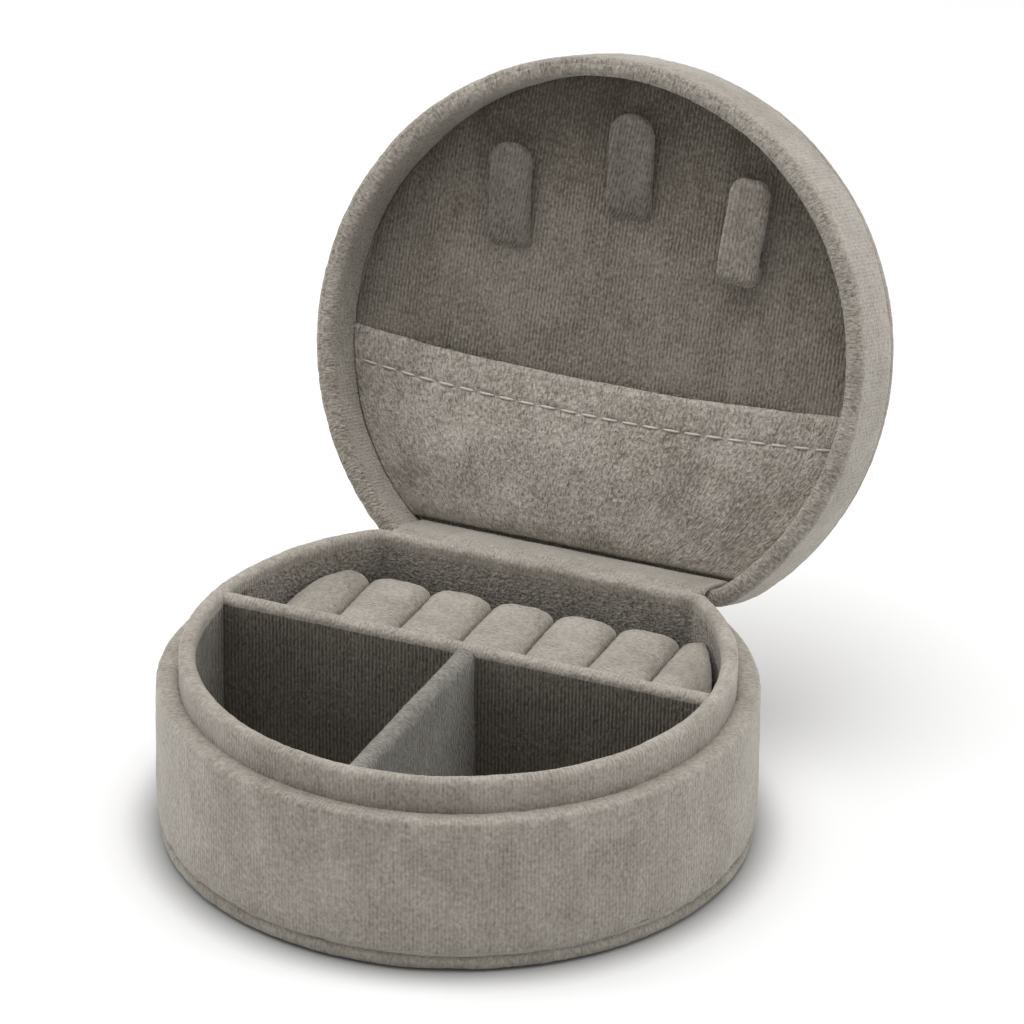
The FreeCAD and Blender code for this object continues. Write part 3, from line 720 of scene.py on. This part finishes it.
# ----------------------------------------------------------------------- lid shell
def lid_wall_cover():
    """Velvet of the lid's side, rolled round its rim and into the hollow."""
    wide = RADIUS - HOLLOW_RADIUS
    deep = FLAT - HOLLOW_FLAT
    roll = 0.45 * wide
    inner = PANEL + 0.3 * MM
    stations = []
    steps = 8
    for i in range(steps + 1):
        stations.append((HOLLOW_RADIUS, HOLLOW_FLAT, inner + (RIM + roll - inner) * i / steps))
    steps = 30
    for i in range(1, steps):
        a = math.pi * i / steps
        across = 0.5 - 0.5 * math.cos(a)
        crease = 0.14 * MM * math.exp(-((across - 0.66) / 0.06) ** 2)
        z = RIM + roll - roll * math.sin(a) ** 0.7 + crease
        stations.append((HOLLOW_RADIUS + wide * across, HOLLOW_FLAT + deep * across, z))
    turn = 1.3 * MM
    steps = 14
    for i in range(steps + 1):
        part = i / steps
        bulge = 0.2 * MM * math.sin(math.pi * part)
        z = RIM + roll + (SIDE_TOP - turn - RIM - roll) * part
        stations.append((RADIUS + bulge, FLAT + bulge, z))
    for inset, z in arc(turn, SIDE_TOP - turn, turn, 170, 95, 6):
        stations.append((RADIUS - inset, FLAT - inset, z))
    stations.append((RADIUS - 3 * MM, FLAT - 3 * MM, SIDE_TOP - 0.1 * MM))
    piece = sweep_d("lid_wall_cover", stations, count=620)
    soften(piece, (13 * MM, 0.2 * MM, 41.0), (2.2 * MM, 0.09 * MM, 42.0), FUZZ)
    clear_knuckles(piece)
    keep_between(piece, RIM - SHUT_GAP, CROWN)
    finish_piece(piece, OUTSIDE, "velvet", "lid_wall_velvet")
    piece.data.materials.append(BRUSHED)
    piece.data.materials.append(NAPPED)
    skin_deep = 0.6 * MM
    for face in piece.data.polygons:
        spot = face.center
        rim_end = RIM + 2.2 * MM + 0.8 * MM * noise.noise(spot / (3 * MM))
        on_rim = spot.z < rim_end and spot.xy.length < RADIUS - 0.35 * MM
        inside = spot.xy.length < HOLLOW_RADIUS + skin_deep and spot.y < HOLLOW_FLAT + skin_deep
        near_hinge = spot.y > 0.25 * RADIUS + 6 * MM * noise.noise(spot / (7 * MM))
        if on_rim or (inside and not near_hinge):
            face.material_index = 1
        elif inside:
            face.material_index = 2
    in_lid(piece)


def crown_cover():
    """Padded top of the lid: full in the middle, rolled at its edge."""
    edge = RADIUS - COVER_INSET
    flat = FLAT - COVER_INSET
    soft = 2.3 * MM
    stations = []
    for part in (0.02, 0.2, 0.4, 0.6, 0.8, 0.92):
        stations.append((edge * part, flat * part, CROWN - 0.5 * MM * part ** 4))
    side = arc(soft, CROWN - soft, soft, 85, 180, 9)
    side += [(0.1 * MM, SIDE_TOP + 0.7 * MM), (0.5 * MM, SIDE_TOP + SEAM_LAP), (2.0 * MM, SIDE_TOP)]
    for inset, z in side:
        stations.append((edge - inset, flat - inset, z))
    piece = sweep_d("crown_cover", stations, caps=(True, False))
    lay_flat(piece)
    soften(piece, (15 * MM, 0.15 * MM, 51.0), (3 * MM, 0.05 * MM, 52.0), FUZZ)
    finish_piece(piece, OUTSIDE, "velvet", "lid_crown_velvet")
    in_lid(piece)


def panel_cover():
    """Covered panel inside the lid, tucked in all round its edge."""
    stations = []
    for part in (0.02, 0.15, 0.3, 0.45, 0.6, 0.75, 0.88, 0.95, 0.985):
        tuck = 0.5 * MM * part ** 12
        stations.append((HOLLOW_RADIUS * part, HOLLOW_FLAT * part, PANEL + tuck))
    stations.append((HOLLOW_RADIUS, HOLLOW_FLAT, PANEL_HIGH[2]))
    piece = sweep_d("panel_cover", stations, caps=(True, False))
    lay_flat(piece)
    soften(piece, (18 * MM, 0.25 * MM, 61.0))
    finish_piece(piece, PANELLED, "velvet_ribbed", "lid_panel_velvet")
    in_lid(piece)


# -------------------------------------------------------------------- lid fittings
def mouth_line(u):
    """How far towards the hinge the pocket's open edge lies; u is -1 to 1 across it."""
    return POCKET_LOW[1] + MOUTH_BOW * (1 - u * u) - MOUTH_DROP


def pocket_cloth():
    """Slack velvet pocket with a turned and stitched hem along its mouth."""
    stand = PANEL - POCKET_LOW[2] - 0.9 * MM
    rows = 70
    columns = 200
    seat = HOLLOW_FLAT - 1.3 * MM
    roll = 0.65 * MM
    # the turned edge: distance from the mouth, depth below the face
    turned = [(2.6 * MM, 2 * roll), (1.4 * MM, 2 * roll), (0.6 * MM, 1.9 * roll),
              (0.15 * MM, 1.5 * roll), (0.0, roll), (0.1 * MM, 0.5 * roll),
              (0.35 * MM, 0.15 * roll)]
    stages = turned + [(0.7 * MM, 0.0)] * (rows + 1)
    rings = []
    for number, (along, under) in enumerate(stages):
        part = max(0.0, (number - len(turned)) / rows)
        ring = []
        for i in range(columns + 1):
            u = 2 * i / columns - 1
            start = mouth_line(u)
            y = start + along if part == 0 else start + (seat - start) * max(part, 0.02)
            half = math.sqrt(max(HOLLOW_RADIUS ** 2 - y ** 2, 0)) - 0.2 * MM
            middle = 1 - u ** 6
            slack = 1.3 * MM * math.sin(math.pi * min(part * 1.05, 1)) + 0.9 * MM * (1 - part) ** 2
            groove = 0.4 * MM * math.exp(-((y - start - HEM) / (0.5 * MM)) ** 2)
            edge = min(1.0, (1 - part) * 12) ** 0.38
            z = PANEL - stand * (0.35 + 0.65 * middle) * edge - slack * middle + groove
            ring.append(Vector((half * u, y, z + under)))
        rings.append(ring)
    piece = make_piece("pocket_cloth", rings, 2 * HOLLOW_RADIUS, closed_ring=False)
    for v in piece.data.vertices:
        wave = 0.9 * MM * noise.noise(v.co / (17 * MM) + Vector((71, 0, 0)))
        wave += 0.35 * MM * noise.noise(Vector((v.co.x / (6 * MM), v.co.y / (15 * MM), 72)))
        v.co.z += wave * min(1.0, (HOLLOW_FLAT - v.co.y) / (3 * MM))
    soften(piece, (6 * MM, 0.15 * MM, 72.0), (2.0 * MM, 0.06 * MM, 73.0), FUZZ)
    thick = piece.modifiers.new("cloth", "SOLIDIFY")
    thick.thickness = 0.4 * MM
    thick.offset = 0.0
    finish_piece(piece, POCKETED, "velvet", "lid_pocket")
    in_lid(piece)
    return piece


def stitch(start, end, radius):
    """Rings of one dash of thread, pulled into the cloth at both ends."""
    rings = []
    steps = 8
    spokes = 8
    hump = 0.18 * MM
    for i in range(steps + 1):
        part = i / steps
        middle = start.lerp(end, part)
        middle.z -= hump * math.sin(math.pi * part)
        thick = 0.2 * radius
        if 0 < part < 1:
            thick = radius * (0.35 + 0.65 * math.sin(math.pi * part) ** 0.4)
        ring = []
        for k in range(spokes):
            a = 2 * math.pi * k / spokes
            ring.append(middle + Vector((0, math.cos(a), math.sin(a))) * thick)
        rings.append(ring)
    return rings


def pocket_stitches(cloth):
    """Light thread along the pocket's hem."""
    build = bmesh.new()
    proud = 0.45 * MM
    side_gap = 3.2 * MM
    height = cloth_height(cloth)
    count = int((HOLLOW_RADIUS - side_gap) / STITCH_PITCH)
    for step in range(-count, count + 1):
        ends = []
        for side in (-0.5, 0.5):
            x = step * STITCH_PITCH + side * STITCH_LENGTH
            y = mouth_line(x / HOLLOW_RADIUS) + HEM
            ends.append(Vector((x, y, height(x, y) - proud)))
        skin(build, stitch(*ends, STITCH_RADIUS))
    bmesh.ops.recalc_face_normals(build, faces=build.faces)
    for face in build.faces:
        face.smooth = True
    mesh = bpy.data.meshes.new("pocket_stitches")
    build.to_mesh(mesh)
    build.free()
    piece = add_object("pocket_stitches", mesh)
    finish_piece(piece, THREAD, "thread", "pocket_thread")
    in_lid(piece)
    return piece


def cloth_height(piece):
    """Gives the height of a lid cloth's nearest point, for what is sewn to it."""
    tree = KDTree(len(piece.data.vertices))
    for v in piece.data.vertices:
        tree.insert((v.co.x, v.co.y, 0), v.index)
    tree.balance()

    def height(x, y):
        index = tree.find((x, y, 0))[1]
        return piece.data.vertices[index].co.z
    return height


def hook_frame(node):
    """Where a hook's CAD solid starts, ends and stands, read with the lid shut."""
    spots = shut_points(node)
    foot = [s for s in spots if s.z > PANEL - 0.2 * MM]
    middle = sum(foot, Vector()) / len(foot)
    tip = min(s.y for s in spots)
    blade = [s for s in spots if s.y < tip + 0.5 * MM]
    point = sum(blade, Vector()) / len(blade)
    lean = math.atan2(point.x - middle.x, middle.y - point.y)
    front = min(s.z for s in spots)
    return middle.x, max(s.y for s in spots), tip, lean, front


def necklace_hook(side, slanted, wide, tip_round, thick):
    """Padded tab sewn down at its foot; its tip stands off the panel."""
    node = "necklace_hook_" + side
    across, foot, tip, lean, front = hook_frame(node)
    long = (foot - tip) / math.cos(lean)
    stand = PANEL - front
    lifted = 1.1 * MM     # height of the blade's face at its lower end
    rings = []
    steps = 60
    spokes = 44
    for i in range(steps + 1):
        from_tip = long * (i / steps) ** 1.3
        to_foot = long - from_tip
        half = wide / 2
        if from_tip < tip_round:
            corner = math.sqrt(max(tip_round ** 2 - (tip_round - from_tip) ** 2, 0))
            half = wide / 2 - tip_round + corner
        half = max(half, 0.3 * MM)
        fade = min(1.0, from_tip / (1.3 * MM))
        body = thick / 2 * max(math.sqrt(1 - (1 - fade) ** 2), 0.15)
        if slanted:
            flush = max(0.0, 1 - to_foot / (2.4 * MM))
            face = lifted + (stand - lifted) * (to_foot / long) ** 0.85 - 1.3 * MM * flush ** 2
        else:
            turned = max(0.0, 1 - to_foot / (2.2 * MM))
            face = stand - lifted * turned ** 2.5
            half -= 1.5 * MM * (1 - math.sqrt(1 - turned ** 2))
        middle = PANEL - face + body + (thick / 2 - body) * 0.6
        if not slanted:
            body *= 1 - 0.45 * turned ** 2.5
        ring = []
        for k in range(spokes):
            a = 2 * math.pi * k / spokes
            x = half * swell(math.cos(a), 0.5)
            z = middle + body * swell(math.sin(a), 0.75)
            ring.append(Vector((x, from_tip - long, z)))
        rings.append(ring)
    piece = make_piece("hook_" + side, rings, 2 * (wide + thick), caps=(True, True))
    layer = piece.data.uv_layers["cloth"]
    for loop in piece.data.loops:
        co = piece.data.vertices[loop.vertex_index].co
        layer.data[loop.index].uv = (co.x + co.z, co.y)
    place = Matrix.Translation((across, foot, 0)) @ Matrix.Rotation(lean, 4, "Z")
    piece.data.transform(place)
    soften(piece, (5 * MM, 0.22 * MM, 81.0 + across), (1.8 * MM, 0.08 * MM, 82.0))
    if not slanted:
        add_hook_foot(piece, place, wide)
    # the right tab, which is not slanted, takes the lighter copy: painted light
    finish_piece(piece, TABBED if slanted else TAB_LIT_COPY, "velvet", node)
    in_lid(piece)


def add_hook_foot(piece, place, wide):
    """Gathered foot behind the blade that ties it to the panel."""
    half_wide = 0.46 * wide
    half_deep = 2.1 * MM
    middle = -2.6 * MM
    tall = 3.4 * MM
    spokes = 24
    steps = 6
    rings = []
    for i in range(steps + 1):
        part = i / steps
        pinch = 1 - 0.12 * math.sin(math.pi * part)
        ring = []
        for k in range(spokes):
            a = 2 * math.pi * k / spokes
            x = half_wide * pinch * swell(math.cos(a), 0.4)
            y = middle + half_deep * pinch * swell(math.sin(a), 0.4)
            ring.append(place @ Vector((x, y, PANEL + 0.2 * MM - tall * part)))
        rings.append(ring)
    bm = bmesh.new()
    bm.from_mesh(piece.data)
    layer = bm.loops.layers.uv["cloth"]
    for face in skin(bm, rings):
        for loop in face.loops:
            loop[layer].uv = (loop.vert.co.x + loop.vert.co.z, loop.vert.co.y)
    bmesh.ops.recalc_face_normals(bm, faces=bm.faces)
    bm.to_mesh(piece.data)
    bm.free()


# -------------------------------------------------------------------- hinge strips
def bent_strip(name, path, reach, thick, node, material, fold=0.0):
    """Strip of velvet along the hinge, shaped round it as the lid stands open, with a sewn fold along
    it.
    """
    spots = []
    steps = 14
    for a, b in zip(path, path[1:]):
        for i in range(steps):
            spots.append(a.lerp(b, i / steps))
    spots.append(path[-1])
    rounding = 36
    for _ in range(rounding):
        spots = [spots[0]] + [(spots[i - 1] + spots[i] * 2 + spots[i + 1]) / 4
                              for i in range(1, len(spots) - 1)] + [spots[-1]]
    rings = []
    columns = 120
    for number, spot in enumerate(spots):
        along = (spots[min(number + 1, len(spots) - 1)] - spots[max(number - 1, 0)]).normalized()
        inward = Vector((0, along.z, -along.y))
        part = number / (len(spots) - 1)
        ring = []
        for i in range(columns + 1):
            x = -reach + 2 * reach * i / columns
            seam = 0.6 + 0.02 * noise.noise(Vector((x / (5 * MM), 0, 92)))
            dip = fold * math.exp(-((part - seam) / 0.03) ** 2)
            ring.append(Vector((x, spot.y, spot.z)) + inward * dip)
        rings.append(ring)
    piece = make_piece(name, rings, 2 * reach, closed_ring=False)
    soften(piece, (7 * MM, 0.12 * MM, 91.0))
    modifier = piece.modifiers.new("cloth", "SOLIDIFY")
    modifier.thickness = thick
    modifier.offset = 0.0
    finish_piece(piece, material, "velvet", node)
    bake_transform(piece)


def hinge_strips():
    """One strip closes the gap behind the lip; the other covers the knuckles."""
    thick = 0.6 * MM
    half = thick / 2
    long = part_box("hinge_strip_inner")[1][0]
    wider = long + 1.4 * MM

    def on_lid(y, z):
        return SWING @ Vector((0, y, z))

    path = [Vector((0, LIP_FLAT + half, WALL_TOP + 0.5 * MM)),
            Vector((0, LIP_FLAT + half, LIP_TOP - 2.0 * MM)),
            Vector((0, LIP_FLAT + 2.2 * MM, LIP_TOP - 1.6 * MM)),
            on_lid(HOLLOW_FLAT - half, RIM + 0.5 * MM),
            on_lid(HOLLOW_FLAT - half, PANEL - 0.3 * MM)]
    bent_strip("inner_hinge_strip", path, wider, thick, "hinge_strip_inner",
               NAPPED,
               0.7 * MM)
    leave = 1.95 * MM
    sewn = 11 * MM
    path = [Vector((0, FLAT + half, AXIS.z - sewn)),
            Vector((0, FLAT + half, AXIS.z - leave)),
            on_lid(FLAT + half, AXIS.z + leave),
            on_lid(FLAT + half, AXIS.z + sewn)]
    bent_strip("outer_hinge_strip", path, long, thick, "hinge_strip_outer",
               OUTSIDE)


# --------------------------------------------------------------- build the object
bottom_cover()
wall_cover()
liner_cover()
floor_cover()
long_divider()
short_divider()
for number in range(1, ROLLS + 1):
    ring_roll(number)
lid_wall_cover()
crown_cover()
panel_cover()
cloth = pocket_cloth()
threads = pocket_stitches(cloth)
necklace_hook("left", True, 9.2 * MM, 4.3 * MM, 2.0 * MM)
necklace_hook("centre", True, 9.9 * MM, 4.8 * MM, 2.0 * MM)
necklace_hook("right", False, 8.8 * MM, 3.2 * MM, 2.4 * MM)
hinge_strips()

# what stays from the CAD lies under the covers: boards, foam, hinge; every CAD node gets steel, board
# or foam
for name, node in frame["nodes"].items():
    kind = STEEL
    if "board" in name:
        kind = BOARD
    if "foam" in name:
        kind = FOAM
    node.data.materials.clear()
    node.data.materials.append(kind)


# ------------------------------------------------------------------------- studio
def studio():
    """Pale floor whose colour holds a painted contact shade where the case touches it, under an even
    white sky.
    """
    bpy.ops.mesh.primitive_plane_add(size=6.0, location=(0, 0, -0.2 * MM))
    floor = bpy.context.object
    floor.name = "floor"
    g = Graph("pale_floor")
    grain = g.noise(0.4, 2.0)
    pale = g.ramp(grain, (0.3, (0.85, 0.85, 0.85)), (0.7, (0.87, 0.87, 0.87)))
    # painted shade: an occlusion node darkens the floor's own colour close to the case, in place of its
    # contact shadow
    near = g.tree.nodes.new("ShaderNodeAmbientOcclusion")
    near.samples = 8
    near.inputs["Distance"].default_value = 9 * MM
    painted_contact_shade = g.ramp(near.outputs["AO"], (0.45, (0.42, 0.42, 0.41)), (0.95, (1, 1, 1)))
    mixed = g.tree.nodes.new("ShaderNodeMix")
    mixed.data_type = "RGBA"
    mixed.blend_type = "MULTIPLY"
    mixed.inputs["Factor"].default_value = 1.0
    g.put(mixed.inputs["A"], pale)
    g.put(mixed.inputs["B"], painted_contact_shade)
    g.put(g.shader.inputs["Base Color"], mixed.outputs["Result"])
    g.shader.inputs["Roughness"].default_value = 0.9
    floor.data.materials.append(g.material)
    world = bpy.data.worlds.new("studio")
    bpy.context.scene.world = world
    world.use_nodes = True
    sky = world.node_tree.nodes["Background"]
    sky.inputs["Color"].default_value = (1, 1, 1, 1)
    sky.inputs["Strength"].default_value = 0.53


def lamp(name, size, power, place, aim):
    """Round soft lamp; sizes in metres, power in watts."""
    data = bpy.data.lights.new(name, "AREA")
    data.shape = "DISK"
    data.size = size
    data.energy = power
    item = add_object(name, data)
    item.location = place
    item.rotation_euler = (Vector(aim) - Vector(place)).to_track_quat("-Z", "Y").to_euler()


def camera():
    """Long lens from the front right, looking down into the open case."""
    azimuth = math.radians(22.9)
    elevation = math.radians(26.4)
    roll = math.radians(0.8)
    distance = 1.18
    aim = Vector((11.1 * MM, 0, 71.5 * MM))
    back = Vector((math.sin(azimuth) * math.cos(elevation), -math.cos(azimuth) * math.cos(elevation),
                   math.sin(elevation)))
    right = Vector((math.cos(azimuth), math.sin(azimuth), 0))
    up = back.cross(right)
    tilted_right = right * math.cos(roll) + up * math.sin(roll)
    tilted_up = up * math.cos(roll) - right * math.sin(roll)
    data = bpy.data.cameras.new("view")
    data.lens = 212.4
    data.sensor_width = 36.0
    data.clip_start = 0.05
    data.clip_end = 20
    item = add_object("view", data)
    turn = Matrix((tilted_right, tilted_up, back)).transposed().to_4x4()
    item.matrix_world = Matrix.Translation(aim + back * distance) @ turn
    bpy.context.scene.camera = item


studio()
lamp("overhead", 0.9, 6.8, (0.0, 0.02, 1.0), (0, 0, 0.05))
lamp("right_back", 0.6, 2.4, (0.8, 0.35, 0.55), (0, 0, 0.06))
lamp("left", 0.6, 2.7, (-0.8, -0.1, 0.5), (0, 0, 0.05))
camera()
bpy.context.scene.view_settings.view_transform = "Standard"
